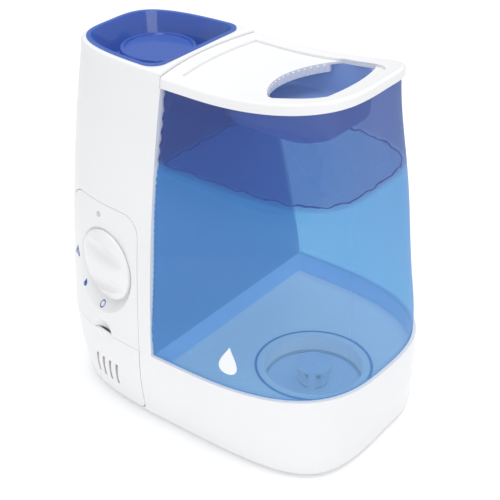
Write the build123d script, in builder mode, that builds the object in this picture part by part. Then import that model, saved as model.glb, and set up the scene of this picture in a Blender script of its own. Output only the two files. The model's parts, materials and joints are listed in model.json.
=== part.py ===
from build123d import *
import math
import os

os.makedirs("parts", exist_ok=True)

# Tank-type cool mist humidifier. X runs along the long side, with the mist tower at -X
# and the water tank at +X. -Y is the front, and Z = 0 is the surface it stands on.

# ---------------------------------------------------------------- outer form
# The body is a stack of squared ovals. Each list gives one measure of the oval at the
# foot, at the base rim, half way up the tank and at the top seam.
rim_z = 77.0
seam_z = 290.0
settle_rise = 12.0
tower_reach = [138.0, 142.0, 144.5, 142.5]
tank_reach = [138.0, 144.5, 134.0, 125.5]
half_width = [89.0, 103.5, 87.0, 60.0]
tower_squareness = [3.4, 3.3, 3.5, 3.8]
tank_squareness = [4.2, 2.9, 3.5, 4.2]
oval_points = 36

# The face between tower and tank leans towards the tower.
divide_at_rim = -15.0
divide_at_seam = -32.6
divide_gap = 1.0

base_wall = 3.0
tower_wall = 2.5
tank_wall = 2.6
tank_inset = 2.5
plug_inset = 4.0
flat_gap = 0.3

# ---------------------------------------------------------------- base
foot_height = 2.5
foot_radius = 9.0
foot_places = [(-110.0, -46.0), (-104.0, 46.0), (98.0, -44.0), (98.0, 44.0)]
base_edge = 3.5
deck_z = 57.0
deck_thickness = 3.0
cover_thickness = 3.0
cover_gap = 0.4
post_radius = 4.5
posts = [(-122.0, -32.0), (-96.0, 72.0), (-25.0, -72.0), (-5.0, 76.0), (118.0, -60.0), (112.0, 60.0)]
screw_radius = 1.5
screw_head_radius = 3.2
screw_head_height = 1.8
screw_length = 12.0
vent_slot_length = 34.0
vent_slot_width = 3.0
vent_slots = 7

gland_x = -66.0
gland_z = 24.0
gland_radius = 6.0
gland_flange = 8.5
gland_bore = 3.4
gland_seat = 1.0

# ---------------------------------------------------------------- water path
tray_wall = 2.5
tray_floor_z = 24.0
sump_radius = 52.0
channel_y = 9.0
channel_width = 26.0
basin_x = -84.0
basin_y = 30.0
basin_length = 80.0
basin_width = 66.0
basin_corner = 10.0

cap_x = 82.0
cap_y = -14.0
neck_radius = 43.0
neck_wall = 2.6
neck_depth = 11.0
cap_wall = 2.6
cap_floor = 3.0
cap_gap = 0.4
cap_grips = 16
seal_thickness = 1.5

valve_radius = 2.5
valve_gap = 0.25
valve_port = 9.0
valve_flange = 12.0
valve_flange_thickness = 2.0
valve_lift = 3.5
valve_tail = 8.0
bush_radius = 5.0
spoke_width = 2.4
cage_height = 16.0
cage_radius = 15.0
cage_leg = 1.6
cage_plate = 2.0
spring_radius = 6.0
spring_wire = 0.7
spring_turns = 5
push_pin_radius = 3.0
push_pin_gap = 0.1

# ---------------------------------------------------------------- mist path
mist_x = -90.0
mist_y = 4.0
duct_radius = 23.0
duct_wall = 2.0
chamber_left = -124.0
chamber_right = -46.0
chamber_front = -36.0
chamber_back = 56.0
chamber_height = 24.0
transducer_x = -92.0
transducer_y = 30.0
transducer_radius = 10.0
transducer_thickness = 1.6
transducer_ring = 13.0
float_x = -58.0
float_y = 46.0
float_radius = 8.5
float_height = 9.0
float_stem = 2.5
float_gap = 0.35
float_travel = 8.0

bowl_right = -44.0
bowl_rim_z = 301.0
bowl_inset = 5.0
bowl_wall = 1.8
bowl_draft = 9.0
bowl_floor_z = 279.0
bowl_corner = 13.0
bowl_lip = 1.4
bowl_lip_height = 1.0
bowl_gap = 0.4
nozzle_radius = 31.0
nozzle_wall = 2.0
nozzle_top_z = 290.0
nozzle_windows = 12

fan_x = -76.0
fan_y = -42.0
fan_z = 30.0
fan_size = 44.0
fan_depth = 14.0
fan_bore = 20.5
fan_tip_gap = 0.8
fan_hub = 8.0
fan_blades = 7
fan_blade_thickness = 1.4
air_duct_back = -14.0

# ---------------------------------------------------------------- controls and drawer
panel_top_z = 187.0
panel_left = -121.0
panel_right_at_rim = -28.0
panel_right_at_top = -38.5
panel_corner = 17.0
panel_gap = 0.4
drawer_bottom_z = 7.0
drawer_right_at_foot = -36.0
drawer_left_at_foot = -115.0
drawer_corner = 7.0
drawer_gap = 0.6
drawer_inner_gap = 0.4
drawer_wall = 2.6
drawer_travel = 32.0
drawer_tray_left = -100.0
drawer_tray_right = -52.0
drawer_tray_back = -55.0
drawer_tray_z = 12.0
drawer_tray_height = 14.0
drawer_tray_wall = 1.6
guide_back = 53.0
guide_length = 19.0
pad_thickness = 6.0
scoop_x = -72.5
scoop_half_width = 11.5
scoop_height = 11.5
scoop_radius = 16.0
scoop_backing = 2.0
dimple_radius = 34.0
dimple_depth = 1.5
louvre_tops = [-85.0, -76.5, -68.0, -59.5]
louvre_shift = -4.0
louvre_low_z = 22.0
louvre_high_z = 46.0
louvre_width = 2.6
louvre_bow = 1.2

knob_x = -72.3
knob_z = 135.9
knob_turned = 11.0
knob_tilt = 0.5
knob_radius = 30.2
knob_sunk = 5.0
knob_rim_top = -2.0
knob_height = 6.5
knob_rim_round = 1.0
knob_scoop_radius = 11.0
knob_scoop_side = 14.5
knob_scoop_floor = -0.3
knob_scoop_turn = 5.0
knob_hole = 7.0
knob_gap = 0.5
dish_floor_radius = 31.2
dish_height = 18.0
boss_wall = 2.6
boss_floor = 2.5
shaft_radius = 3.0
shaft_gap = 0.15
switch_size = 24.0
switch_depth = 13.0
light_x = -82.0
light_z = 177.0
light_radius = 2.4

# ---------------------------------------------------------------- tank top
lid_rise = 8.0
lid_wall = 2.2
lid_border = 13.0
lid_sink = 2.0
lid_edge = 2.5
lid_flat_to = 0.0
lid_arc_radius = 405.0
tank_rim_lift = 2.2
flange_thickness = 1.8
flange_corner_x = -31.2
flange_corner_y = 60.4
grip_left = 35.6
grip_right = 101.0
grip_half = 46.0
grip_ribs = 14
grip_rib_radius = 1.1
grip_skirt = 2.0
grip_skirt_depth = 1.5
grip_skirt_end = 52.0
pocket_x = 53.0
pocket_length = 88.0
pocket_width = 86.0
pocket_corner = 26.0
pocket_spread = 3.0
pocket_floor_z = 273.0
pocket_wall = 2.0
arc_ends_x = -33.4
arc_middle_x = -41.0
lid_gap = 0.6

# ---------------------------------------------------------------- electronics
board_thickness = 1.6
board_length = 78.0
board_height = 70.0
board_z = 215.0
board_post = 6.0
driver_length = 60.0
driver_width = 38.0
driver_x = -84.0
driver_y = 30.0
driver_z = 12.0

# ---------------------------------------------------------------- derived places
middle_z = (rim_z + seam_z) / 2
deck_low = deck_z - deck_thickness
cover_top = foot_height + cover_thickness
tray_inside_z = tray_floor_z + tray_wall
tank_floor_low = deck_z + flat_gap
tank_floor_z = tank_floor_low + tank_wall
neck_end_z = tank_floor_low - neck_depth
cap_top_z = neck_end_z - flat_gap - seal_thickness
cap_low_z = cap_top_z - cap_floor
cap_radius = neck_radius + cap_gap + cap_wall
valve_tail_z = cap_low_z - valve_tail
duct_top_z = bowl_floor_z - bowl_wall - 2.5
chamber_top_z = deck_z + chamber_height
body_heights = [rim_z, rim_z + 53, middle_z, middle_z + 53, seam_z]
top_heights = [seam_z, seam_z + settle_rise / 2, seam_z + settle_rise, seam_z + 3 * settle_rise]
base_heights = [foot_height + base_edge, 18.0, 42.0, rim_z]


def at_height(values, z):
    """Measure of the body at height z: an ease-out to the rim, then a parabola to the seam."""
    foot, rim, middle, top = values
    if z <= rim_z:
        share = 1 - (1 - max(z, 0) / rim_z) ** 1.5
        return foot + (rim - foot) * share
    if z > seam_z:
        slope = (rim - 4 * middle + 3 * top) / (seam_z - rim_z)
        above = min(z - seam_z, settle_rise)
        return top + slope * above * (1 - above / (2 * settle_rise))
    share = (z - rim_z) / (seam_z - rim_z)
    low = (1 - share) * (1 - 2 * share)
    mid = 4 * share * (1 - share)
    high = share * (2 * share - 1)
    return rim * low + middle * mid + top * high


def oval_at(z, inset):
    """Points of the squared oval at height z, brought inwards by inset."""
    points = []
    for index in range(oval_points):
        angle = 2 * math.pi * index / oval_points
        c, s = math.cos(angle), math.sin(angle)
        reach, squareness = (tank_reach, tank_squareness) if c > 0 else (tower_reach, tower_squareness)
        power = 2 / at_height(squareness, z)
        x = math.copysign((at_height(reach, z) - inset) * abs(c) ** power, c)
        y = math.copysign((at_height(half_width, z) - inset) * abs(s) ** power, s)
        points.append((x, y, 0))
    return points


def wall_y(x, z, inset=0):
    """Half width of the body at x and height z."""
    reach, squareness = (tank_reach, tank_squareness) if x > 0 else (tower_reach, tower_squareness)
    power = at_height(squareness, z)
    share = min(abs(x) / (at_height(reach, z) - inset), 1)
    return (at_height(half_width, z) - inset) * (1 - share**power) ** (1 / power)


def hull(heights, inset, mode=Mode.ADD):
    """Solid body through the ovals at these heights, brought inwards by one inset or by a list of them."""
    sections = []
    insets = inset if isinstance(inset, list) else [inset] * len(heights)
    for z, brought_in in zip(heights, insets):
        with BuildSketch(Plane.XY.offset(z)) as section:
            with BuildLine():
                Spline(*oval_at(z, brought_in), periodic=True)
            make_face()
        sections.append(section.sketch.face())
    loft(sections, mode=mode)


def divide_x(z):
    slope = (divide_at_seam - divide_at_rim) / (seam_z - rim_z)
    return divide_at_rim + slope * (z - rim_z)


def beyond_divide(gap, side, mode=Mode.SUBTRACT):
    """Everything on one side of the leaning face: side 1 is the tank's, -1 the tower's."""
    low, high, far = -20.0, 360.0, side * 260.0
    with BuildSketch(Plane.XZ) as half:
        with BuildLine():
            Polyline(
                (divide_x(low) + gap, low),
                (divide_x(high) + gap, high),
                (far, high),
                (far, low),
                close=True,
            )
        make_face()
    extrude(half.sketch, amount=200, both=True, mode=mode)


def edge_line_z(x):
    """Height of the tank lid's lower edge at x."""
    run = max(x - lid_flat_to, 0)
    return seam_z + lid_arc_radius - math.sqrt(lid_arc_radius**2 - run**2)


def saddle(low, high, mode=Mode.INTERSECT):
    """The band from low to high above the lid's edge line, right across the body."""
    left, right = -80.0, 150.0
    middle = (lid_flat_to + right) / 2
    with BuildSketch(Plane.XZ) as band:
        with BuildLine():
            for lift in (low, high):
                Line((left, seam_z + lift), (lid_flat_to, seam_z + lift))
                ThreePointArc(
                    (lid_flat_to, seam_z + lift),
                    (middle, edge_line_z(middle) + lift),
                    (right, edge_line_z(right) + lift),
                )
            Line((left, seam_z + low), (left, seam_z + high))
            Line((right, edge_line_z(right) + low), (right, edge_line_z(right) + high))
        make_face()
    extrude(band.sketch, amount=120, both=True, mode=mode)


def beside_arc(gap, side, mode=Mode.SUBTRACT):
    """Everything on one side of the curved joint between tower cap and tank lid."""
    reach = half_width[3] + 20
    ends = arc_middle_x + (arc_ends_x - arc_middle_x) * (reach / half_width[3]) ** 2 + gap
    with BuildSketch(Plane.XY.offset(seam_z - 60)) as region:
        with BuildLine():
            ThreePointArc((ends, -reach), (arc_middle_x + gap, 0), (ends, reach))
            Polyline((ends, reach), (side * 260, reach), (side * 260, -reach), (ends, -reach))
        make_face()
    extrude(region.sketch, amount=140, mode=mode)


def front_outline(low_z, high_z, left_low, right_low, left_high, right_high, gap, corner):
    """Four-sided outline on the front, grown by gap, with its outer two corners rounded."""
    low, high = low_z - (gap if low_z < rim_z else 0), high_z + (gap if high_z > rim_z else 0)
    with BuildSketch(Plane.XZ) as outline:
        with BuildLine():
            Polyline(
                (left_low - gap, low),
                (left_high - gap, high),
                (right_high + gap, high),
                (right_low + gap, low),
                close=True,
            )
        make_face()
        rounded = 0 if low_z < rim_z else -1
        fillet(outline.vertices().group_by(Axis.Y)[rounded], radius=corner)
    return outline.sketch


def panel_outline(gap):
    return front_outline(
        rim_z, panel_top_z, panel_left, panel_right_at_rim, panel_left, panel_right_at_top, gap, panel_corner
    )


def drawer_outline(gap):
    return front_outline(
        drawer_bottom_z, rim_z, drawer_left_at_foot, drawer_right_at_foot, panel_left, panel_right_at_rim,
        gap, drawer_corner,
    )


def rounded_box(left, right, front, back, corner):
    """Plan sketch of a rounded rectangle between its four sides."""
    with BuildSketch() as plan:
        with Locations(((left + right) / 2, (front + back) / 2)):
            RectangleRounded(right - left, back - front, corner)
    return plan.sketch


def finish(sub_part, name):
    sub_part.part.label = name
    export_step(sub_part.part, f"parts/{name}.step")
    print(name, round(sub_part.part.volume), len(sub_part.part.solids()))


# ---------------------------------------------------------------- base housing
with BuildPart() as base_core:
    hull([0.0, 18.0, 42.0, rim_z + 1], base_wall)

with BuildPart() as deck:
    hull([deck_low, deck_z], base_wall - 0.5)

with BuildPart() as well_divider:
    hull([deck_z, rim_z], base_wall - 0.5)
    beyond_divide(0, 1)
    beyond_divide(-tower_wall, -1)

with BuildPart() as drawer_opening:
    extrude(drawer_outline(drawer_gap), amount=200)
    add(base_core.part, mode=Mode.SUBTRACT)

gland_y = wall_y(gland_x, gland_z)

with BuildPart() as base_housing:
    hull(base_heights, 0)
    hull([foot_height, foot_height + 1, base_heights[0]], [base_edge, 0.35 * base_edge, 0])
    add(base_core.part, mode=Mode.SUBTRACT)
    add(deck.part)
    add(well_divider.part)
    add(drawer_opening.part, mode=Mode.SUBTRACT)
    with BuildSketch(Plane.XY.offset(deck_low)):
        with Locations(*posts):
            Circle(post_radius)
    extrude(amount=-(deck_low - cover_top))
    with BuildSketch(Plane.XY.offset(deck_z)):
        with Locations((cap_x, cap_y)):
            Circle(sump_radius - tray_wall)
        with Locations((basin_x, basin_y)):
            RectangleRounded(basin_length - 14, basin_width - 18, basin_corner)
        with Locations((fan_x, (fan_y + fan_depth / 2 + air_duct_back) / 2)):
            Rectangle(fan_size - 8, air_duct_back - fan_y - fan_depth / 2 - 6)
    extrude(amount=-deck_thickness, mode=Mode.SUBTRACT)
    with BuildSketch(Plane.XY.offset(cover_top)):
        with Locations(*posts):
            Circle(screw_radius)
    extrude(amount=screw_length - cover_thickness + 1, mode=Mode.SUBTRACT)
    with Locations(Plane((gland_x, gland_y, gland_z), z_dir=(0, 1, 0))):
        Cylinder(gland_radius + 0.05, 20, mode=Mode.SUBTRACT)
    with Locations(Plane((gland_x, gland_y - gland_seat, gland_z), z_dir=(0, 1, 0))):
        Cylinder(gland_flange + 0.3, 10, align=(Align.CENTER, Align.CENTER, Align.MIN), mode=Mode.SUBTRACT)
finish(base_housing, "base_housing")

# ---------------------------------------------------------------- bottom cover, feet, screws
with BuildPart() as bottom_cover:
    hull([foot_height, cover_top], base_wall + cover_gap)
    with BuildSketch(Plane.XY.offset(foot_height)):
        with Locations(*posts):
            Circle(screw_radius + 0.2)
        with Locations((fan_x, fan_y - 4)):
            with GridLocations(2.2 * vent_slot_width, 0, vent_slots, 1):
                SlotOverall(vent_slot_length, vent_slot_width, rotation=90)
    extrude(amount=cover_thickness, mode=Mode.SUBTRACT)
    with BuildSketch(Plane.XY.offset(foot_height)):
        with Locations(*posts):
            Circle(screw_head_radius + 0.3)
    extrude(amount=screw_head_height, mode=Mode.SUBTRACT)
    with BuildSketch(Plane.XY.offset(cover_top)):
        with Locations((driver_x, driver_y)):
            with GridLocations(driver_length - 8, driver_width - 8, 2, 2):
                Circle(2.5)
    extrude(amount=driver_z - cover_top)
finish(bottom_cover, "bottom_cover")

with BuildPart() as rubber_feet:
    with BuildSketch():
        with Locations(*foot_places):
            Circle(foot_radius)
    extrude(amount=foot_height)
    chamfer(rubber_feet.edges().group_by(Axis.Z)[0], length=0.8)
finish(rubber_feet, "rubber_feet")

with BuildPart() as cover_screws:
    with BuildSketch(Plane.XY.offset(foot_height)):
        with Locations(*posts):
            Circle(screw_head_radius)
    extrude(amount=screw_head_height)
    with BuildSketch(Plane.XY.offset(foot_height)):
        with Locations(*posts):
            Circle(screw_radius)
    extrude(amount=screw_length)
finish(cover_screws, "cover_screws")

with BuildPart(Plane((gland_x, gland_y - gland_seat, gland_z), x_dir=(1, 0, 0), z_dir=(0, 1, 0))) as cord_gland:
    Cylinder(gland_radius, base_wall + 4, align=(Align.CENTER, Align.CENTER, Align.MAX))
    Cylinder(gland_flange, 2.4, align=(Align.CENTER, Align.CENTER, Align.MIN))
    fillet(cord_gland.edges().sort_by(Axis.Y)[-1], radius=1)
    Cylinder(gland_bore, 40, mode=Mode.SUBTRACT)
finish(cord_gland, "cord_gland")


# ---------------------------------------------------------------- water tray
def tray_outline(inset):
    """Plan of the water tray: a round sump, a channel and the mist basin."""
    with BuildSketch() as plan:
        with Locations((cap_x, cap_y)):
            Circle(sump_radius - inset)
        with Locations((basin_x, basin_y)):
            RectangleRounded(basin_length - 2 * inset, basin_width - 2 * inset, basin_corner - inset)
        with Locations(((cap_x + basin_x) / 2, channel_y)):
            Rectangle(cap_x - basin_x, channel_width - 2 * inset)
    return plan.sketch


push_pin_top = valve_tail_z - push_pin_gap

with BuildPart() as water_tray:
    with BuildSketch(Plane.XY.offset(tray_floor_z)):
        add(tray_outline(0))
    extrude(amount=deck_low - tray_floor_z)
    with BuildSketch(Plane.XY.offset(tray_inside_z)):
        add(tray_outline(tray_wall))
    extrude(amount=deck_low - tray_inside_z, mode=Mode.SUBTRACT)
    with BuildSketch(Plane.XY.offset(tray_inside_z)):
        with Locations((cap_x, cap_y)):
            Circle(push_pin_radius)
    extrude(amount=push_pin_top - tray_inside_z)
    with BuildSketch(Plane.XY.offset(tray_inside_z)):
        with Locations((float_x, float_y)):
            Circle(float_stem)
    extrude(amount=float_height + float_travel + 2)
    with BuildSketch(Plane.XY.offset(tray_floor_z)):
        with Locations((transducer_x, transducer_y)):
            Circle(transducer_radius + 1)
    extrude(amount=tray_wall, mode=Mode.SUBTRACT)
finish(water_tray, "water_tray")

with BuildPart() as float_ring:
    with BuildSketch(Plane.XY.offset(tray_inside_z + flat_gap)):
        with Locations((float_x, float_y)):
            Circle(float_radius)
            Circle(float_stem + float_gap, mode=Mode.SUBTRACT)
    extrude(amount=float_height)
    fillet(float_ring.edges().filter_by(GeomType.CIRCLE).group_by(SortBy.RADIUS)[-1], radius=1)
finish(float_ring, "float_ring")

float_clip_z = tray_inside_z + float_height + float_travel + 2 - 1.2
with BuildPart() as float_clip:
    with BuildSketch(Plane.XY.offset(float_clip_z + 1.2)):
        with Locations((float_x, float_y)):
            Circle(float_stem + 2.2)
    extrude(amount=1.2)
finish(float_clip, "float_clip")

# ---------------------------------------------------------------- mist generator
with BuildPart() as transducer_seal:
    with BuildSketch(Plane.XY.offset(tray_floor_z)):
        with Locations((transducer_x, transducer_y)):
            Circle(transducer_ring)
            Circle(transducer_radius - 2, mode=Mode.SUBTRACT)
    extrude(amount=-1.2)
finish(transducer_seal, "transducer_seal")

with BuildPart() as transducer_disc:
    with BuildSketch(Plane.XY.offset(tray_floor_z - 1.2)):
        with Locations((transducer_x, transducer_y)):
            Circle(transducer_radius)
    extrude(amount=-transducer_thickness)
finish(transducer_disc, "transducer_disc")

clamp_top = tray_floor_z - 1.2
with BuildPart() as transducer_clamp:
    with BuildSketch(Plane.XY.offset(clamp_top)):
        with Locations((transducer_x, transducer_y)):
            RectangleRounded(36, 30, 4)
            Circle(transducer_radius + 0.2, mode=Mode.SUBTRACT)
    extrude(amount=-transducer_thickness)
    with BuildSketch(Plane.XY.offset(clamp_top - transducer_thickness)):
        with Locations((transducer_x, transducer_y)):
            RectangleRounded(36, 30, 4)
            Circle(transducer_radius - 2, mode=Mode.SUBTRACT)
    extrude(amount=-2)
finish(transducer_clamp, "transducer_clamp")

with BuildPart() as driver_board:
    with BuildSketch(Plane.XY.offset(driver_z)):
        with Locations((driver_x, driver_y)):
            Rectangle(driver_length, driver_width)
    extrude(amount=board_thickness)
finish(driver_board, "driver_board")

with BuildPart() as heat_sink:
    with BuildSketch(Plane.XY.offset(driver_z + board_thickness)):
        with Locations((driver_x + 19, driver_y)):
            Rectangle(16, 26)
    extrude(amount=2)
    with BuildSketch(Plane.XY.offset(driver_z + board_thickness + 2)):
        with Locations((driver_x + 19, driver_y)):
            with GridLocations(3.6, 0, 5, 1):
                Rectangle(1.2, 26)
    extrude(amount=5)
finish(heat_sink, "heat_sink")

# ---------------------------------------------------------------- mist duct
with BuildPart() as mist_duct:
    with BuildSketch(Plane.XY.offset(deck_z)):
        add(rounded_box(chamber_left, chamber_right, chamber_front, chamber_back, 8))
    extrude(amount=chamber_height)
    fillet(mist_duct.edges().group_by(Axis.Z)[-1], radius=5)
    with BuildSketch(Plane.XY.offset(chamber_top_z - duct_wall)):
        with Locations((mist_x, mist_y)):
            Circle(duct_radius)
    extrude(amount=duct_top_z - chamber_top_z + duct_wall)
    with BuildSketch(Plane.XY.offset(deck_z)):
        add(rounded_box(chamber_left + duct_wall, chamber_right - duct_wall,
                        chamber_front + duct_wall, chamber_back - duct_wall, 6))
    extrude(amount=chamber_height - duct_wall, mode=Mode.SUBTRACT)
    with BuildSketch(Plane.XY.offset(deck_z)):
        with Locations((mist_x, mist_y)):
            Circle(duct_radius - duct_wall)
    extrude(amount=duct_top_z - deck_z, mode=Mode.SUBTRACT)
finish(mist_duct, "mist_duct")

with BuildPart() as duct_seal:
    with BuildSketch(Plane.XY.offset(duct_top_z)):
        with Locations((mist_x, mist_y)):
            Circle(duct_radius)
            Circle(duct_radius - duct_wall, mode=Mode.SUBTRACT)
    extrude(amount=2.2)
finish(duct_seal, "duct_seal")


# ---------------------------------------------------------------- mist bowl
def bowl_face(z, inset):
    """Plan of the mist bowl at height z: the body's oval cut straight beside the lid."""
    with BuildSketch(Plane.XY.offset(z)) as plan:
        with BuildLine():
            Spline(*oval_at(bowl_rim_z, bowl_inset + inset), periodic=True)
        make_face()
        with Locations((bowl_right - inset, 0)):
            Rectangle(400, 300, align=(Align.MIN, Align.CENTER), mode=Mode.SUBTRACT)
        fillet(plan.vertices().group_by(Axis.X)[-1], radius=bowl_corner)
    return plan.sketch


with BuildPart() as mist_bowl:
    loft([bowl_face(bowl_floor_z - bowl_wall, bowl_draft).face(), bowl_face(bowl_rim_z, 0).face()])
    extrude(bowl_face(bowl_rim_z, -bowl_lip), amount=bowl_lip_height)
    loft(
        [
            bowl_face(bowl_floor_z, bowl_draft + bowl_wall).face(),
            bowl_face(bowl_rim_z + bowl_lip_height + 0.01, bowl_wall).face(),
        ],
        mode=Mode.SUBTRACT,
    )
    with BuildSketch(Plane.XY.offset(bowl_floor_z - bowl_wall)):
        with Locations((mist_x, mist_y)):
            Circle(duct_radius - duct_wall)
    extrude(amount=bowl_wall, mode=Mode.SUBTRACT)
finish(mist_bowl, "mist_bowl")

with BuildPart() as mist_nozzle:
    with BuildSketch(Plane.XY.offset(bowl_floor_z)):
        with Locations((mist_x, mist_y)):
            Circle(nozzle_radius)
    extrude(amount=nozzle_top_z - bowl_floor_z)
    fillet(mist_nozzle.edges().group_by(Axis.Z)[-1], radius=1.2)
    with BuildSketch(Plane.XY.offset(nozzle_top_z)):
        with Locations((mist_x, mist_y)):
            Circle(nozzle_radius - 3)
    extrude(amount=-1.5, mode=Mode.SUBTRACT, taper=20)
    with BuildSketch(Plane.XY.offset(bowl_floor_z)):
        with Locations((mist_x, mist_y)):
            Circle(nozzle_radius - nozzle_wall)
    extrude(amount=nozzle_top_z - bowl_floor_z - nozzle_wall - 1.5, mode=Mode.SUBTRACT)
    with Locations((mist_x, mist_y, bowl_floor_z + 4.5)):
        with PolarLocations(nozzle_radius, nozzle_windows):
            Box(12, 8, 4.5, mode=Mode.SUBTRACT)
finish(mist_nozzle, "mist_nozzle")

# ---------------------------------------------------------------- tower housing and cap
with BuildPart() as tower_form:
    hull(body_heights, 0)
    beyond_divide(0, 1)

with BuildPart() as tower_core:
    hull([rim_z - 1, rim_z + 53, middle_z, middle_z + 53, seam_z + 1], tower_wall)
    beyond_divide(-tower_wall, 1)

with BuildPart() as panel_opening:
    extrude(panel_outline(panel_gap), amount=200)
    add(tower_core.part, mode=Mode.SUBTRACT)

board_tilt = math.degrees(math.atan2(divide_at_rim - divide_at_seam, seam_z - rim_z))
divide_plane = Plane(
    (divide_x(board_z) - tower_wall, 0, board_z), x_dir=(0, 1, 0),
    z_dir=(-math.cos(math.radians(board_tilt)), 0, -math.sin(math.radians(board_tilt))),
)

with BuildPart() as tower_housing:
    add(tower_form.part)
    add(tower_core.part, mode=Mode.SUBTRACT)
    add(panel_opening.part, mode=Mode.SUBTRACT)
    with BuildSketch(divide_plane):
        with GridLocations(board_length - 10, board_height - 10, 2, 2):
            Circle(2.8)
    extrude(amount=board_post)
finish(tower_housing, "tower_housing")

with BuildPart() as cap_core:
    hull([seam_z - 1, seam_z + 5, bowl_rim_z - tower_wall], tower_wall)
    beside_arc(-lid_wall, 1)

with BuildPart() as tower_cap:
    hull(top_heights, 0)
    beside_arc(0, 1)
    with Locations((0, 0, bowl_rim_z)):
        Box(600, 600, 100, align=(Align.CENTER, Align.CENTER, Align.MIN), mode=Mode.SUBTRACT)
    fillet(tower_cap.edges().group_by(Axis.Z)[-1], radius=2.5)
    add(cap_core.part, mode=Mode.SUBTRACT)
    extrude(bowl_face(seam_z, -bowl_gap), amount=40, mode=Mode.SUBTRACT)
finish(tower_cap, "tower_cap")

# ---------------------------------------------------------------- control panel
knob_y = -wall_y(knob_x, knob_z)
turned, tilted = math.radians(knob_turned), math.radians(knob_tilt)
knob_plane = Plane(
    (knob_x, knob_y, knob_z),
    x_dir=(math.cos(turned), -math.sin(turned), 0),
    z_dir=(-math.sin(turned) * math.cos(tilted), -math.cos(turned) * math.cos(tilted), math.sin(tilted)),
)

with BuildPart() as knob_boss:
    add(tower_form.part)
    with Locations(knob_plane.offset(-knob_sunk - boss_floor)):
        Cone(
            dish_floor_radius + boss_wall,
            dish_floor_radius + boss_wall + dish_height,
            dish_height,
            align=(Align.CENTER, Align.CENTER, Align.MIN),
            mode=Mode.INTERSECT,
        )

scoop_front = -wall_y(scoop_x, rim_z)
scoop_ahead = math.sqrt(scoop_radius**2 - scoop_half_width**2)
with BuildPart() as scoop_boss:
    add(tower_form.part)
    with Locations((scoop_x, scoop_front + scoop_radius - scoop_ahead + scoop_backing, rim_z)):
        Box(
            2 * scoop_half_width + 6, 60, scoop_height + 4,
            align=(Align.CENTER, Align.MAX, Align.MIN), mode=Mode.INTERSECT,
        )

with BuildPart() as control_panel:
    add(tower_form.part)
    add(tower_core.part, mode=Mode.SUBTRACT)
    add(knob_boss.part)
    add(scoop_boss.part)
    extrude(panel_outline(0), amount=200, mode=Mode.INTERSECT)
    with Locations(knob_plane.offset(-knob_sunk)):
        Cone(
            dish_floor_radius,
            dish_floor_radius + dish_height,
            dish_height,
            align=(Align.CENTER, Align.CENTER, Align.MIN),
            mode=Mode.SUBTRACT,
        )
    with BuildSketch(knob_plane):
        Circle(shaft_radius + shaft_gap)
    extrude(amount=40, both=True, mode=Mode.SUBTRACT)
    with BuildSketch(Plane.XZ):
        with Locations((light_x, light_z)):
            Circle(light_radius + 0.05)
    extrude(amount=200, mode=Mode.SUBTRACT)
    with Locations((scoop_x, scoop_front - scoop_ahead, rim_z)):
        Sphere(scoop_radius, mode=Mode.SUBTRACT)
finish(control_panel, "control_panel")

with BuildPart() as power_light:
    add(tower_form.part)
    with BuildSketch(Plane.XZ.offset(wall_y(light_x, light_z) - 7)):
        with Locations((light_x, light_z)):
            Circle(light_radius)
    extrude(amount=20, mode=Mode.INTERSECT)
finish(power_light, "power_light")

knob_base = knob_gap - knob_sunk
dome_rise = knob_height - knob_rim_top
dome_radius = (knob_radius**2 + dome_rise**2) / (2 * dome_rise)
with BuildPart() as control_knob:
    with BuildSketch(knob_plane.offset(knob_base)):
        Circle(knob_radius)
    extrude(amount=knob_height - knob_base + 1)
    with Locations(knob_plane.offset(knob_height - dome_radius)):
        Sphere(dome_radius, mode=Mode.INTERSECT)
    rim_edges = control_knob.edges().filter_by(lambda edge: edge.length > 6 * knob_radius)
    fillet(rim_edges.sort_by(Axis.Y)[0], radius=knob_rim_round)
    for side in (1, -1):
        lean = math.radians(-side * knob_scoop_turn)
        along = knob_plane.x_dir * math.cos(lean) + knob_plane.y_dir * math.sin(lean)
        across = knob_plane.y_dir * math.cos(lean) - knob_plane.x_dir * math.sin(lean)
        with BuildSketch(Plane(knob_plane.origin, x_dir=across, z_dir=along)):
            with Locations((side * knob_scoop_side, knob_scoop_floor + knob_scoop_radius)):
                Circle(knob_scoop_radius)
        extrude(amount=60, both=True, mode=Mode.SUBTRACT)
    with BuildSketch(knob_plane.offset(knob_base)):
        Circle(shaft_radius)
    extrude(amount=knob_hole, mode=Mode.SUBTRACT)
finish(control_knob, "control_knob")

with BuildPart() as knob_shaft:
    with BuildSketch(knob_plane.offset(knob_base + knob_hole)):
        Circle(shaft_radius)
    extrude(amount=-(knob_hole + knob_gap + boss_floor + 4))
finish(knob_shaft, "knob_shaft")

with BuildPart() as rotary_switch:
    with BuildSketch(knob_plane.offset(-knob_sunk - boss_floor)):
        RectangleRounded(switch_size, switch_size, 3)
    extrude(amount=-switch_depth)
    with BuildSketch(knob_plane.offset(-knob_sunk - boss_floor)):
        Circle(shaft_radius + shaft_gap)
    extrude(amount=-6, mode=Mode.SUBTRACT)
finish(rotary_switch, "rotary_switch")

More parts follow.
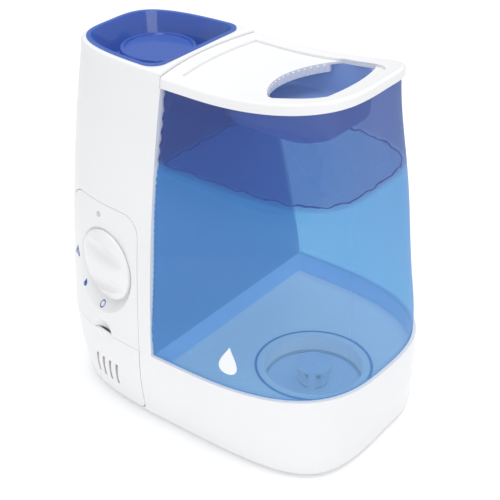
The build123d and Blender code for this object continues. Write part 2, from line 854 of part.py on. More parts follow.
# ---------------------------------------------------------------- scent drawer
with BuildPart() as pad_drawer:
    hull(base_heights, 0)
    hull([foot_height - 1, 18.0, 42.0, rim_z + 1], drawer_wall, mode=Mode.SUBTRACT)
    extrude(drawer_outline(0), amount=200, mode=Mode.INTERSECT)
    with Locations((0, 0, rim_z - drawer_inner_gap)):
        Box(600, 600, 50, align=(Align.CENTER, Align.CENTER, Align.MIN), mode=Mode.SUBTRACT)
    scoop_at = -wall_y(scoop_x, rim_z) - dimple_radius + dimple_depth
    with Locations((scoop_x, scoop_at, rim_z - 4)):
        Sphere(dimple_radius, mode=Mode.SUBTRACT)
    with BuildSketch(Plane.XZ):
        for louvre_x in louvre_tops:
            with BuildLine() as bow:
                ThreePointArc(
                    (louvre_x, louvre_high_z),
                    (louvre_x + louvre_shift / 2 - louvre_bow, (louvre_low_z + louvre_high_z) / 2),
                    (louvre_x + louvre_shift, louvre_low_z),
                )
            trace(bow.line, line_width=louvre_width)
    extrude(amount=200, mode=Mode.SUBTRACT)
    with BuildPart(mode=Mode.PRIVATE) as drawer_tray:
        hull([foot_height, 18.0, 42.0], drawer_wall - 0.2)
        with BuildSketch(Plane.XY.offset(drawer_tray_z)) as tray_plan:
            add(rounded_box(drawer_tray_left, drawer_tray_right, -120, drawer_tray_back, 3))
        extrude(tray_plan.sketch, amount=drawer_tray_height, mode=Mode.INTERSECT)
        with BuildSketch(Plane.XY.offset(drawer_tray_z + drawer_tray_wall)) as tray_inner:
            add(rounded_box(drawer_tray_left + drawer_tray_wall, drawer_tray_right - drawer_tray_wall,
                            -121, drawer_tray_back - drawer_tray_wall, 2))
        extrude(tray_inner.sketch, amount=drawer_tray_height, mode=Mode.SUBTRACT)
    add(drawer_tray.part)
finish(pad_drawer, "pad_drawer")

with BuildPart() as scent_pad:
    with BuildSketch(Plane.XY.offset(drawer_tray_z + drawer_tray_wall)):
        add(rounded_box(drawer_tray_left + 3, drawer_tray_right - 3, -76, drawer_tray_back - 3, 2))
    extrude(amount=pad_thickness)
finish(scent_pad, "scent_pad")

with BuildPart() as drawer_guide:
    for side, edge in ((-1, drawer_tray_left), (1, drawer_tray_right)):
        inner = edge + side * drawer_inner_gap
        with BuildSketch(Plane.XZ.offset(guide_back)):
            with BuildLine():
                Polyline(
                    (inner - side * 4, cover_top),
                    (inner + side * 2, cover_top),
                    (inner + side * 2, drawer_tray_z + 8),
                    (inner, drawer_tray_z + 8),
                    (inner, drawer_tray_z - 0.2),
                    (inner - side * 4, drawer_tray_z - 0.2),
                    close=True,
                )
            make_face()
        extrude(amount=guide_length)
finish(drawer_guide, "drawer_guide")

# ---------------------------------------------------------------- fan and air duct
fan_plane = Plane((fan_x, fan_y, fan_z), x_dir=(1, 0, 0), z_dir=(0, -1, 0))
fan_back = -fan_depth / 2

with BuildPart() as fan_frame:
    with BuildSketch(fan_plane.offset(fan_back)):
        RectangleRounded(fan_size, fan_size, 4)
        Circle(fan_bore, mode=Mode.SUBTRACT)
    extrude(amount=fan_depth)
    with BuildSketch(fan_plane.offset(fan_back)):
        Circle(fan_hub)
        with PolarLocations(0, 3):
            with Locations((fan_bore / 2 + 1, 0)):
                Rectangle(fan_bore + 2, 3)
        Circle(1.5, mode=Mode.SUBTRACT)
    extrude(amount=1.6)
    with BuildSketch(fan_plane.offset(fan_back)):
        with GridLocations(fan_size - 8, fan_size - 8, 2, 2):
            Circle(1.8)
    extrude(amount=fan_depth, mode=Mode.SUBTRACT)
finish(fan_frame, "fan_frame")

with BuildPart() as fan_motor:
    with BuildSketch(fan_plane.offset(fan_back + 1.6)):
        Circle(fan_hub - 2.4)
        Circle(1.2, mode=Mode.SUBTRACT)
    extrude(amount=5)
finish(fan_motor, "fan_motor")

with BuildPart() as fan_impeller:
    with BuildSketch(fan_plane.offset(fan_back + 2.4)):
        Circle(fan_hub)
        Circle(fan_hub - 1.4, mode=Mode.SUBTRACT)
    extrude(amount=fan_depth - 4)
    with BuildSketch(fan_plane.offset(fan_back + 7.4)):
        Circle(fan_hub)
    extrude(amount=fan_depth - 9)
    with BuildSketch(fan_plane.offset(fan_back + 0.4)):
        Circle(1.0)
    extrude(amount=8)
    for blade in range(fan_blades):
        with Locations(fan_plane * Rotation(0, 0, 360 * blade / fan_blades)):
            with Locations(Location(((fan_hub + fan_bore - fan_tip_gap) / 2 - 0.4, 0, 0), (38, 0, 0))):
                Box(fan_bore - fan_tip_gap - fan_hub + 0.2, 11, fan_blade_thickness)
finish(fan_impeller, "fan_impeller")

air_duct_front = fan_y + fan_depth / 2
with BuildPart() as air_duct:
    with Locations((fan_x, (air_duct_front + air_duct_back) / 2, fan_z - fan_size / 2)):
        Box(fan_size, air_duct_back - air_duct_front, deck_low - fan_z + fan_size / 2,
            align=(Align.CENTER, Align.CENTER, Align.MIN))
    with Locations((fan_x, air_duct_front, fan_z - fan_size / 2 + 2)):
        Box(fan_size - 4, air_duct_back - air_duct_front - 2, 80,
            align=(Align.CENTER, Align.MIN, Align.MIN), mode=Mode.SUBTRACT)
finish(air_duct, "air_duct")

# ---------------------------------------------------------------- power electronics
with BuildPart() as power_board:
    with BuildSketch(divide_plane.offset(board_post)):
        RectangleRounded(board_length, board_height, 2)
    extrude(amount=board_thickness)
finish(power_board, "power_board")

with BuildPart() as power_transformer:
    with BuildSketch(divide_plane.offset(board_post + board_thickness)):
        with Locations((-20, 14)):
            RectangleRounded(26, 22, 1.5)
    extrude(amount=16)
finish(power_transformer, "power_transformer")

with BuildPart() as power_capacitors:
    with BuildSketch(divide_plane.offset(board_post + board_thickness)):
        with Locations((16, 20), (16, 4), (28, -14)):
            Circle(5)
    extrude(amount=14)
finish(power_capacitors, "power_capacitors")


# ---------------------------------------------------------------- tank
tank_heights = [rim_z + 2 * flat_gap, rim_z + 53, middle_z, middle_z + 53, seam_z, seam_z + 12, seam_z + 36]
plug_heights = [tank_floor_low, 67.0, rim_z + 2 * flat_gap]
shoulder_z = rim_z + 2 * flat_gap + tank_wall

with BuildPart() as tank_form:
    hull(tank_heights, tank_inset)

with BuildPart() as tank_hollow:
    hull([shoulder_z, *tank_heights[1:]], tank_inset + tank_wall)
    hull([tank_floor_z, 67.0, shoulder_z], plug_inset + tank_wall)
    beyond_divide(divide_gap + tank_wall, -1)

with BuildPart() as tank_shell:
    add(tank_form.part)
    hull(plug_heights, plug_inset)
    beyond_divide(divide_gap, -1)
    saddle(-300, tank_rim_lift)
    add(tank_hollow.part, mode=Mode.SUBTRACT)
    with BuildSketch(Plane.XY.offset(tank_floor_low)):
        with Locations((cap_x, cap_y)):
            Circle(neck_radius)
    extrude(amount=neck_end_z - tank_floor_low)
    with BuildSketch(Plane.XY.offset(tank_floor_z)):
        with Locations((cap_x, cap_y)):
            Circle(neck_radius - neck_wall)
    extrude(amount=neck_end_z - tank_floor_z, mode=Mode.SUBTRACT)
finish(tank_shell, "tank_shell")


def pocket_solid(grow, low_z, mode=Mode.ADD):
    """Rounded tub below the grip, grown outwards by grow and starting at low_z."""
    sections = []
    for z, spread in ((low_z, 0), (seam_z + 40, pocket_spread)):
        with BuildSketch(Plane.XY.offset(z)) as plan:
            with Locations((pocket_x, 0)):
                RectangleRounded(
                    pocket_length + 2 * (spread + grow), pocket_width + 2 * (spread + grow), pocket_corner + grow
                )
        sections.append(plan.sketch.face())
    loft(sections, mode=mode)


with BuildPart() as pocket_tub:
    pocket_solid(pocket_wall, pocket_floor_z - pocket_wall)
    fillet(pocket_tub.edges().group_by(Axis.Z)[0], radius=4)
    saddle(-300, tank_rim_lift + 0.5)

with BuildPart() as handle_pocket:
    add(tank_form.part)
    saddle(tank_rim_lift, tank_rim_lift + flange_thickness)
    beyond_divide(divide_gap, -1)
    with Locations((flange_corner_x, -flange_corner_y, seam_z), (flange_corner_x, flange_corner_y, seam_z)):
        Box(20, 12, 60, align=(Align.MAX, Align.CENTER, Align.CENTER), mode=Mode.SUBTRACT)
    add(pocket_tub.part)
    with BuildPart(mode=Mode.PRIVATE) as pocket_hollow:
        pocket_solid(0, pocket_floor_z)
        fillet(pocket_hollow.edges().group_by(Axis.Z)[0], radius=3)
    add(pocket_hollow.part, mode=Mode.SUBTRACT)
finish(handle_pocket, "handle_pocket")


def grip_outline(grow):
    """Plan of the grip opening: a bowed left side and a flatter right side."""
    with BuildSketch() as plan:
        with BuildLine():
            ThreePointArc((60, -grip_half), (grip_left, 0), (60, grip_half))
            Line((60, grip_half), (94, grip_half - 7))
            ThreePointArc((94, grip_half - 7), (grip_right, 0), (94, 7 - grip_half))
            Line((94, 7 - grip_half), (60, -grip_half))
        make_face()
        fillet(plan.vertices().group_by(Axis.X)[-1], radius=7)
        fillet(plan.vertices().group_by(Axis.X)[1], radius=14)
        if grow:
            offset(amount=grow)
    return plan.sketch


with BuildPart() as grip_rim:
    with BuildSketch(Plane.XY.offset(seam_z - grip_skirt_depth)):
        add(grip_outline(grip_skirt))
        add(grip_outline(0), mode=Mode.SUBTRACT)
        with Locations((grip_skirt_end, 0)):
            Rectangle(100, 200, align=(Align.MIN, Align.CENTER), mode=Mode.SUBTRACT)
    extrude(amount=40)
    saddle(-grip_skirt_depth, lid_rise - lid_sink - 0.3)

rib_radius = (grip_half**2 + (60 - grip_left) ** 2) / (2 * (60 - grip_left))
with BuildPart() as rib_row:
    with BuildSketch(Plane.XY.offset(seam_z - grip_skirt_depth)):
        with Locations((grip_left + rib_radius, 0)):
            with PolarLocations(rib_radius, grip_ribs, start_angle=180 - 41, angular_range=78):
                Circle(grip_rib_radius)
    extrude(amount=40)
    saddle(-grip_skirt_depth + 1, lid_rise - lid_sink - 1.5)

with BuildPart() as tank_lid:
    hull(tank_heights[2:], 0)
    saddle(0, lid_rise)
    beside_arc(lid_gap, -1)
    fillet(tank_lid.edges().group_by(Axis.Z)[-1], radius=lid_edge)
    with BuildPart(mode=Mode.PRIVATE) as lid_recess:
        hull(tank_heights[3:], lid_border)
        beside_arc(lid_gap + lid_border, -1)
        saddle(lid_rise - lid_sink, lid_rise + 20)
    add(lid_recess.part, mode=Mode.SUBTRACT)
    with BuildPart(mode=Mode.PRIVATE) as lid_hollow:
        hull(tank_heights[3:], lid_wall)
        beside_arc(lid_gap + lid_wall, -1)
        saddle(-60, tank_rim_lift + flange_thickness + 0.2)
    add(lid_hollow.part, mode=Mode.SUBTRACT)
    with Locations((divide_x(seam_z) + divide_gap, 0, seam_z + flat_gap)):
        Box(60, 300, 40, align=(Align.MAX, Align.CENTER, Align.MAX), mode=Mode.SUBTRACT)
    extrude(Plane.XY.offset(seam_z - 20) * grip_outline(0), amount=80, mode=Mode.SUBTRACT)
    add(grip_rim.part)
    add(rib_row.part)
finish(tank_lid, "tank_lid")

# ---------------------------------------------------------------- tank cap and valve
cap_plane = Plane((cap_x, cap_y, 0))

with BuildPart() as tank_cap:
    with BuildSketch(cap_plane.offset(cap_low_z)):
        Circle(cap_radius)
        with PolarLocations(cap_radius, cap_grips):
            Circle(1.2)
    extrude(amount=tank_floor_low - 1 - cap_low_z)
    with BuildSketch(cap_plane.offset(cap_top_z)):
        Circle(neck_radius + cap_gap)
    extrude(amount=40, mode=Mode.SUBTRACT)
    with BuildSketch(cap_plane.offset(cap_low_z)):
        Circle(valve_port)
    extrude(amount=cap_floor, mode=Mode.SUBTRACT)
    with BuildSketch(cap_plane.offset(cap_low_z)):
        Circle(bush_radius)
        with PolarLocations((valve_port + 1) / 2, 3):
            Rectangle(valve_port + 1, spoke_width)
        Circle(valve_radius + valve_gap, mode=Mode.SUBTRACT)
    extrude(amount=cap_floor)
    with BuildSketch(cap_plane.offset(cap_top_z)):
        with PolarLocations(cage_radius - cage_leg / 2, 3, start_angle=60):
            Rectangle(cage_leg, 6)
    extrude(amount=cage_height)
    with BuildSketch(cap_plane.offset(cap_top_z + cage_height)):
        Circle(cage_radius)
        Circle(valve_radius + valve_gap, mode=Mode.SUBTRACT)
    extrude(amount=cage_plate)
finish(tank_cap, "tank_cap")

with BuildPart() as cap_seal:
    with BuildSketch(cap_plane.offset(cap_top_z)):
        Circle(neck_radius - 0.3)
        Circle(neck_radius - neck_wall - 1.5, mode=Mode.SUBTRACT)
    extrude(amount=seal_thickness)
finish(cap_seal, "cap_seal")

flange_low_z = cap_top_z + 0.1 + seal_thickness
with BuildPart() as valve_stem:
    with BuildSketch(cap_plane.offset(valve_tail_z)):
        Circle(valve_radius)
    extrude(amount=cap_top_z + cage_height + cage_plate + 1 - valve_tail_z)
    fillet(valve_stem.edges().group_by(Axis.Z)[0], radius=1)
    with BuildSketch(cap_plane.offset(flange_low_z)):
        Circle(valve_flange)
    extrude(amount=valve_flange_thickness)
finish(valve_stem, "valve_stem")

with BuildPart() as valve_seal:
    with BuildSketch(cap_plane.offset(cap_top_z + 0.1)):
        Circle(valve_flange)
        Circle(valve_port - 1, mode=Mode.SUBTRACT)
    extrude(amount=seal_thickness)
finish(valve_seal, "valve_seal")

spring_low = flange_low_z + valve_flange_thickness + spring_wire + 0.1
spring_high = cap_top_z + cage_height - spring_wire - 0.1
with BuildPart() as valve_spring:
    with BuildLine(cap_plane.offset(spring_low)) as coil:
        Helix((spring_high - spring_low) / spring_turns, spring_high - spring_low, spring_radius)
    with BuildSketch(Plane(coil.line @ 0, z_dir=coil.line % 0)):
        Circle(spring_wire)
    sweep()
finish(valve_spring, "valve_spring")
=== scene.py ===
# Cool mist humidifier with a blue tinted water tank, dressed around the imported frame.
import json
import math

import bpy
import numpy as np
from mathutils import Matrix, Vector
from mathutils.bvhtree import BVHTree


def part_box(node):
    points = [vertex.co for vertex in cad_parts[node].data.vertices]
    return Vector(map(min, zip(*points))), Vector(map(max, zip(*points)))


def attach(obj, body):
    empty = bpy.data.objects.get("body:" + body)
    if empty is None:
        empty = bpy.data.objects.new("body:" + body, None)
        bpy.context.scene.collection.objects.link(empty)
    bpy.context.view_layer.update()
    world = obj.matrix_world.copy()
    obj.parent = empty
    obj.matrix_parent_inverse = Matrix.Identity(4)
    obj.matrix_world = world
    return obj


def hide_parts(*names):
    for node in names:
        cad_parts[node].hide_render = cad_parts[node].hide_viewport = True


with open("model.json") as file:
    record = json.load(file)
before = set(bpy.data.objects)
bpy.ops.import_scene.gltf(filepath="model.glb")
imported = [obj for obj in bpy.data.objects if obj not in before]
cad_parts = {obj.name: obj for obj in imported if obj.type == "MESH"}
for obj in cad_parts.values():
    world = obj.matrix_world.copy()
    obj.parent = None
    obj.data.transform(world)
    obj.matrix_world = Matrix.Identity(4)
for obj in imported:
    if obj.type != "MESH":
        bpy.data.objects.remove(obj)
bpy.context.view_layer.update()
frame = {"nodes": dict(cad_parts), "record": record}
nodes = frame["nodes"]


def linear(hexColor):
    # sRGB hex to a linear colour with alpha.
    values = [int(hexColor[i:i + 2], 16) / 255 for i in (1, 3, 5)]
    return tuple(v / 12.92 if v <= 0.04045 else ((v + 0.055) / 1.055) ** 2.4 for v in values) + (1.0,)


def addNode(tree, kind, sockets=None, **attributes):
    # Adds a node with its attributes. sockets holds, by name or number, a value to set or an output to link.
    node = tree.nodes.new(kind)
    for key, value in attributes.items():
        setattr(node, key, value)
    for key, value in (sockets or {}).items():
        if isinstance(value, bpy.types.NodeSocket):
            tree.links.new(value, node.inputs[key])
        else:
            node.inputs[key].default_value = value
    return node


def newMaterial(name):
    material = bpy.data.materials.new(name)
    material.use_nodes = True
    tree = material.node_tree
    tree.nodes.clear()
    return material, tree, tree.nodes.new("ShaderNodeOutputMaterial")


def unevenness(tree, scale, detail=3.0, roughness=0.5):
    # Soft uneven pattern on Object coordinates. scale is in cells per metre.
    place = addNode(tree, "ShaderNodeTexCoord")
    noise = addNode(
        tree, "ShaderNodeTexNoise",
        {"Vector": place.outputs["Object"], "Scale": scale, "Detail": detail, "Roughness": roughness},
    )
    return noise.outputs["Fac"]


# What moulding does to plastic: how the melt's flow shows, and how far it changes the gloss.
mouldingSettings = {
    "flowScale": 14.0,
    "glossSpread": 0.15,
    "grainDepth": 0.0004,
    "ior": 1.46,
    "coatRoughness": 0.12,
}


def mouldedPlastic(name, color, shade, roughness, coat, bump=0.006, grain=900.0):
    # Faint flow variation in colour and gloss, and the grain of the mould's surface. The grain is about
    # 1 mm wide, coarser than a real one, so that it can show at all. grain is in cells per metre.
    material, tree, output = newMaterial(name)
    settings = mouldingSettings
    flow = unevenness(tree, settings["flowScale"], 4.0, 0.55)
    tint = addNode(tree, "ShaderNodeMix", {0: flow, 6: linear(color), 7: linear(shade)}, data_type="RGBA")
    low, high = roughness * (1 - settings["glossSpread"]), roughness * (1 + settings["glossSpread"])
    gloss = addNode(tree, "ShaderNodeMapRange", {"Value": flow, "To Min": low, "To Max": high})
    relief = addNode(
        tree, "ShaderNodeBump",
        {"Strength": bump, "Distance": settings["grainDepth"], "Height": unevenness(tree, grain, 2.0)},
    )
    surface = addNode(tree, "ShaderNodeBsdfPrincipled", {
        "Normal": relief.outputs["Normal"],
        "Base Color": tint.outputs[2],
        "Roughness": gloss.outputs["Result"],
        "IOR": settings["ior"],
        "Coat Weight": coat,
        "Coat Roughness": settings["coatRoughness"],
    })
    tree.links.new(surface.outputs[0], output.inputs[0])
    return material


def machinedMetal(name, color, roughness):
    # Clean metal with scratches 1 to 2 mm apart, too shallow to break its reflections.
    material, tree, output = newMaterial(name)
    relief = addNode(
        tree, "ShaderNodeBump", {"Strength": 0.05, "Distance": 0.0003, "Height": unevenness(tree, 600.0, 4.0)}
    )
    surface = addNode(tree, "ShaderNodeBsdfPrincipled", {
        "Base Color": linear(color),
        "Metallic": 1.0,
        "Roughness": roughness,
        "Normal": relief.outputs["Normal"],
    })
    tree.links.new(surface.outputs[0], output.inputs[0])
    return material


def addPaintedGlow(material, color, strength):
    # Painted light: an emission added to what the surface gives, which lifts the piece and flattens its
    # shading, in place of light scattered inside the plastic.
    tree = material.node_tree
    output = next(n for n in tree.nodes if n.type == "OUTPUT_MATERIAL")
    glow = addNode(tree, "ShaderNodeEmission", {"Color": linear(color), "Strength": strength})
    surface = output.inputs[0].links[0].from_socket
    both = addNode(tree, "ShaderNodeAddShader", {0: surface, 1: glow.outputs[0]})
    tree.links.new(both.outputs[0], output.inputs[0])


def skinGloss(tree, straight, grazing):
    # Share of mirror reflection of a thin sheet, the same from both sides.
    facing = addNode(tree, "ShaderNodeLayerWeight", {"Blend": 0.5})
    steep = addNode(tree, "ShaderNodeMath", {0: facing.outputs["Facing"], 1: 4.0}, operation="POWER")
    amount = addNode(
        tree, "ShaderNodeMapRange", {"Value": steep.outputs[0], "To Min": straight, "To Max": grazing}
    )
    return amount.outputs["Result"]


waterLevel = 0.234  # height of the water over the table, metres
tintSettings = {
    "footTop": 0.15,  # the foot's tint begins to change this far under the water line
    "lowTop": 0.02,  # and has changed this far under it
    "lineBlend": 0.004,  # half the height over which the water line's tint changes
    "unevenScale": 9.0,
    "unevenSpread": 0.06,
    "shadowThinning": 0.85,  # the veil is this much thinner for light on its way to a surface
}


def heightTint(tree, foot, low, high):
    # Colour that runs from foot to low up to the water line, and is high over it.
    settings = tintSettings
    place = addNode(tree, "ShaderNodeTexCoord")
    parts = addNode(tree, "ShaderNodeSeparateXYZ", {0: place.outputs["Object"]})
    tint = linear(foot)
    for start, end, over in (
        (waterLevel - settings["footTop"], waterLevel - settings["lowTop"], low),
        (waterLevel - settings["lineBlend"], waterLevel + settings["lineBlend"], high),
    ):
        level = addNode(
            tree, "ShaderNodeMapRange", {"Value": parts.outputs["Z"], "From Min": start, "From Max": end}
        )
        mixed = addNode(
            tree, "ShaderNodeMix", {0: level.outputs["Result"], 6: tint, 7: linear(over)}, data_type="RGBA"
        )
        tint = mixed.outputs[2]
    return tint


def tintedPlastic(name, clear, body, share, roughness, edge, bands=None, scatter=0.5):
    # Light passes with the clear tint, and a veil of the body tint scatters it, thicker by edge towards
    # grazing views. bands, if given, holds clear and body over the water line, then both at the foot.
    # scatter is the share of the veil that glows from behind. Light on its way to a surface passes
    # without the tint, so that what stands behind the sheet isn't tinted twice.
    material, tree, output = newMaterial(name)
    clearAbove, bodyAbove, clearFoot, bodyFoot = bands or (clear, body, clear, body)
    shadow = addNode(tree, "ShaderNodeLightPath").outputs["Is Shadow Ray"]
    passing = heightTint(tree, clearFoot, clear, clearAbove)
    paler = addNode(tree, "ShaderNodeMix", {0: shadow, 6: passing, 7: (1, 1, 1, 1)}, data_type="RGBA")
    through = addNode(tree, "ShaderNodeBsdfTransparent", {"Color": paler.outputs[2]})

    scattered = heightTint(tree, bodyFoot, body, bodyAbove)
    front = addNode(tree, "ShaderNodeBsdfDiffuse", {"Color": scattered})
    back = addNode(tree, "ShaderNodeBsdfTranslucent", {"Color": scattered})
    veil = addNode(tree, "ShaderNodeMixShader", {0: scatter, 1: front.outputs[0], 2: back.outputs[0]})

    facing = addNode(tree, "ShaderNodeLayerWeight", {"Blend": 0.3})
    thickness = addNode(
        tree, "ShaderNodeMapRange",
        {"Value": facing.outputs["Facing"], "To Min": share, "To Max": min(share + edge, 0.98)},
    )
    spread = tintSettings["unevenSpread"]
    uneven = addNode(
        tree, "ShaderNodeMapRange",
        {"Value": unevenness(tree, tintSettings["unevenScale"]), "To Min": 1 - spread, "To Max": 1 + spread},
    )
    varied = addNode(
        tree, "ShaderNodeMath", {0: thickness.outputs["Result"], 1: uneven.outputs["Result"]},
        operation="MULTIPLY", use_clamp=True,
    )
    thinning = addNode(
        tree, "ShaderNodeMath", {0: shadow, 1: -tintSettings["shadowThinning"], 2: 1.0},
        operation="MULTIPLY_ADD", use_clamp=True,
    )
    amount = addNode(
        tree, "ShaderNodeMath", {0: varied.outputs[0], 1: thinning.outputs[0]}, operation="MULTIPLY"
    )
    sheet = addNode(
        tree, "ShaderNodeMixShader", {0: amount.outputs[0], 1: through.outputs[0], 2: veil.outputs[0]}
    )

    gloss = addNode(tree, "ShaderNodeBsdfGlossy", {"Color": (1, 1, 1, 1), "Roughness": roughness})
    shown = addNode(
        tree, "ShaderNodeMixShader",
        {0: skinGloss(tree, 0.04, 0.22), 1: sheet.outputs[0], 2: gloss.outputs[0]},
    )
    tree.links.new(shown.outputs[0], output.inputs[0])
    return material


# Housings: moulded ABS, which gives wide soft reflections on a clean white.
whitePlastic = mouldedPlastic("white gloss ABS", "#F1F1F1", "#ECECED", 0.30, 0.25)
# Pieces inside: moulded polypropylene, matt and slightly waxy.
innerPlastic = mouldedPlastic("white matt polypropylene", "#E4E6E8", "#DDE0E3", 0.5, 0.0, 0.05, 600.0)
# Fan and switch: nylon with glass fibres, near black and dull, with a coarser grain.
darkPlastic = mouldedPlastic("black glass-filled nylon", "#1C1D1F", "#232427", 0.55, 0.0, 0.12, 500.0)
# Seals and feet: cured rubber, with hardly any reflection.
sealRubber = mouldedPlastic("grey silicone rubber", "#B9BCBE", "#AFB2B5", 0.65, 0.0, 0.08, 400.0)
footRubber = mouldedPlastic("dark grey rubber", "#3A3B3C", "#323334", 0.8, 0.0, 0.15, 400.0)
# Power light, unlit: sanded acrylic, a pale grey spot.
lensPlastic = mouldedPlastic("frosted lens acrylic", "#C9CCCF", "#C2C6C9", 0.3, 0.3)
# Circuit boards: green lacquer over glass cloth, whose weave shows as a faint relief.
boardLaminate = mouldedPlastic("green solder mask", "#1F6B3C", "#1A5E35", 0.35, 0.3, 0.1, 300.0)
# Scent pad: pressed fibres, cream and wholly matt, with a rough surface.
padFelt = mouldedPlastic("pressed cellulose pad", "#E9E3D2", "#DDD5C0", 0.95, 0.0, 0.8, 260.0)
# Screws, shafts and spring, the mist disc, and the heat sink.
steel = machinedMetal("zinc plated steel", "#C8CACC", 0.3)
brass = machinedMetal("nickel brass", "#D8C48C", 0.3)
aluminium = machinedMetal("extruded aluminium", "#C9CCCE", 0.35)
# Tank wall: clear polycarbonate tinted in the mass. Its tint is deeper over the water line, painted shade
# where nothing lights it, and a little paler towards the foot, painted light.
tankPlastic = tintedPlastic(
    "blue tinted tank polycarbonate", "#B3DAEE", "#62A8E8", 0.30, 0.05, 0.25,
    bands=("#A3B8D8", "#5A6CB8", "#B0DCF0", "#66AFEA"),
)
# Tank floor and plug: the same plastic lying on white, so it shows pale and milky. Both also carry a painted
# glow, and the plug wall is made paler still, painted light over the shaded well of the base behind it.
floorPlastic = tintedPlastic("pale blue tank floor", "#D2DAE8", "#ECE6EA", 0.90, 0.08, 0.08, scatter=0.2)
plugPlastic = tintedPlastic("blue tank plug wall", "#D4EBF8", "#A6C8F0", 0.72, 0.05, 0.1, scatter=0.3)
# Cap and valve under the floor, and the thicker root of the neck, seen through the tint. The cap also gets a
# painted glow that flattens its shading.
capPlastic = mouldedPlastic("pale blue tank cap", "#9AA4BE", "#949EB8", 0.45, 0.0, 0.0)
ringPlastic = mouldedPlastic("blue neck edge", "#5E86B8", "#5A82B4", 0.45, 0.0, 0.0)
# Mist bowl and grip pocket: tinted more heavily than the tank, so they read as almost solid blue. The pocket
# lies in the lid's shade and gets a painted glow that lifts it.
bowlPlastic = tintedPlastic("deep blue tinted bowl plastic", "#8FAFE6", "#6A90DC", 0.62, 0.08, 0.3)
pocketPlastic = tintedPlastic(
    "blue handle pocket plastic", "#B9DEF0", "#8EA8D8", 0.80, 0.08, 0.15, scatter=0.12
)
# Painted light: emissions that lift the pocket in the lid's shade and the floor and plug, and flatten the
# cap's shading.
addPaintedGlow(pocketPlastic, "#A0AECB", 0.09)
addPaintedGlow(floorPlastic, "#E8D8C8", 0.16)
addPaintedGlow(capPlastic, "#D8D4DC", 0.34)
addPaintedGlow(plugPlastic, "#A8BEDC", 0.20)

slotMaterials = {
    "white_plastic": whitePlastic,
    "inner_plastic": innerPlastic,
    "dark_plastic": darkPlastic,
    "seal_rubber": sealRubber,
    "foot_rubber": footRubber,
    "lens_plastic": lensPlastic,
    "circuit_board": boardLaminate,
    "pad_fabric": padFelt,
    "steel": steel,
    "brass": brass,
    "aluminium": aluminium,
    "tank_plastic": tankPlastic,
    "bowl_plastic": bowlPlastic,
}
nodeMaterials = {"tank_cap": capPlastic, "valve_stem": capPlastic, "handle_pocket": pocketPlastic}
for part in frame["record"]["subparts"]:
    piece = nodes[part["node"]]
    piece.data.materials.clear()
    piece.data.materials.append(nodeMaterials.get(part["node"]) or slotMaterials[part["material_slot"]])
print("stage: materials on", len(nodes), "nodes")


def meshPiece(name, points, faces, material, body, smooth=True):
    mesh = bpy.data.meshes.new(name)
    mesh.from_pydata(points.tolist(), [], faces)
    mesh.update()
    if smooth:
        mesh.shade_smooth()
    mesh.materials.append(material)
    piece = bpy.data.objects.new(name, mesh)
    bpy.context.collection.objects.link(piece)
    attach(piece, body)
    return piece


def ringFaces(rings, count):
    # Quads between closed rings of count points each, stored one ring after another.
    step = np.arange(count)
    following = (step + 1) % count
    first = np.arange(rings - 1)[:, None] * count
    corners = (first + step, first + following, first + count + following, first + count + step)
    return np.stack(corners, axis=-1).reshape(-1, 4).tolist()


def nodeTree(name):
    # Search tree of a CAD node's surface, to lay things on it.
    mesh = nodes[name].data
    mesh.calc_loop_triangles()
    corners = [v.co.copy() for v in mesh.vertices]
    return BVHTree.FromPolygons(corners, [tuple(t.vertices) for t in mesh.loop_triangles])


def castRays(surface, starts, directions):
    # Where rays meet a surface, and its normals there. The tree casts one ray at a time.
    met = [surface.ray_cast(Vector(s), Vector(d))[:2] for s, d in zip(starts.tolist(), directions.tolist())]
    return np.array([hit for hit, _ in met]), np.array([normal for _, normal in met])


def unitRays(angles):
    # Level rays, in the single precision that the search tree works in.
    return np.stack([np.cos(angles), np.sin(angles), np.zeros_like(angles)], axis=-1).astype(np.float32)


farAway = 0.4  # rays start this far out, outside the whole object, metres
seamTurn = 0.0013  # turns rings by a hair, so that no ray runs exactly along a CAD edge


# Printed marks: off, low and high beside the knob, and a drop on the tank. Places are (x, z) in metres.
symbolSettings = {
    "ink": "#3C63B8",
    "film": 0.00012,
    "offRing": {"place": (-0.0749, 0.0988), "radius": 0.0026, "line": 0.30},
    "lowDrops": [(-0.0978, 0.1088)],
    "highDrops": [(-0.1137, 0.1300), (-0.1090, 0.1300), (-0.1112, 0.1340)],
    "dropSize": (0.0036, 0.0058),
    "tankDrop": {"place": (0.0592, 0.1020), "size": (0.0185, 0.0235)},
}


def ringOutline(x, z, radius, count=48):
    angles = np.linspace(0, 2 * math.pi, count, endpoint=False)
    return np.stack([x + radius * np.cos(angles), z + radius * np.sin(angles)], axis=-1)


def dropOutline(x, z, width, height, count=48):
    # A circle whose width shrinks to nothing towards its top: sin(a) times sin(a / 2) to the power 1.6.
    angles = 2 * math.pi * np.arange(count) / count
    reach = np.sin(angles) * np.sin(angles / 2) ** 1.6
    return np.stack([x + reach * width * 0.62, z + np.cos(angles) * height / 2], axis=-1)


def printedMark(name, surface, outline, material, body, rings, inner=0.0):
    # An ink film on the front of a surface: the outline shrunk towards its middle in rings, each point cast
    # back along y and lifted off the surface by the film's thickness. inner is where the rings start.
    middle = outline.mean(axis=0)
    shares = inner + (1 - inner) * np.arange(rings + 1) / rings
    flat = (middle + (outline - middle) * shares[:, None, None]).reshape(-1, 2)
    starts = np.stack([flat[:, 0], np.full(len(flat), -farAway), flat[:, 1]], axis=-1)
    hits, normals = castRays(surface, starts, np.tile((0.0, 1.0, 0.0), (len(flat), 1)))
    outward = np.where(normals[:, 1:2] < 0, normals, -normals)
    points = hits + outward * symbolSettings["film"]
    return meshPiece(name, points, ringFaces(rings + 1, len(outline)), material, body)


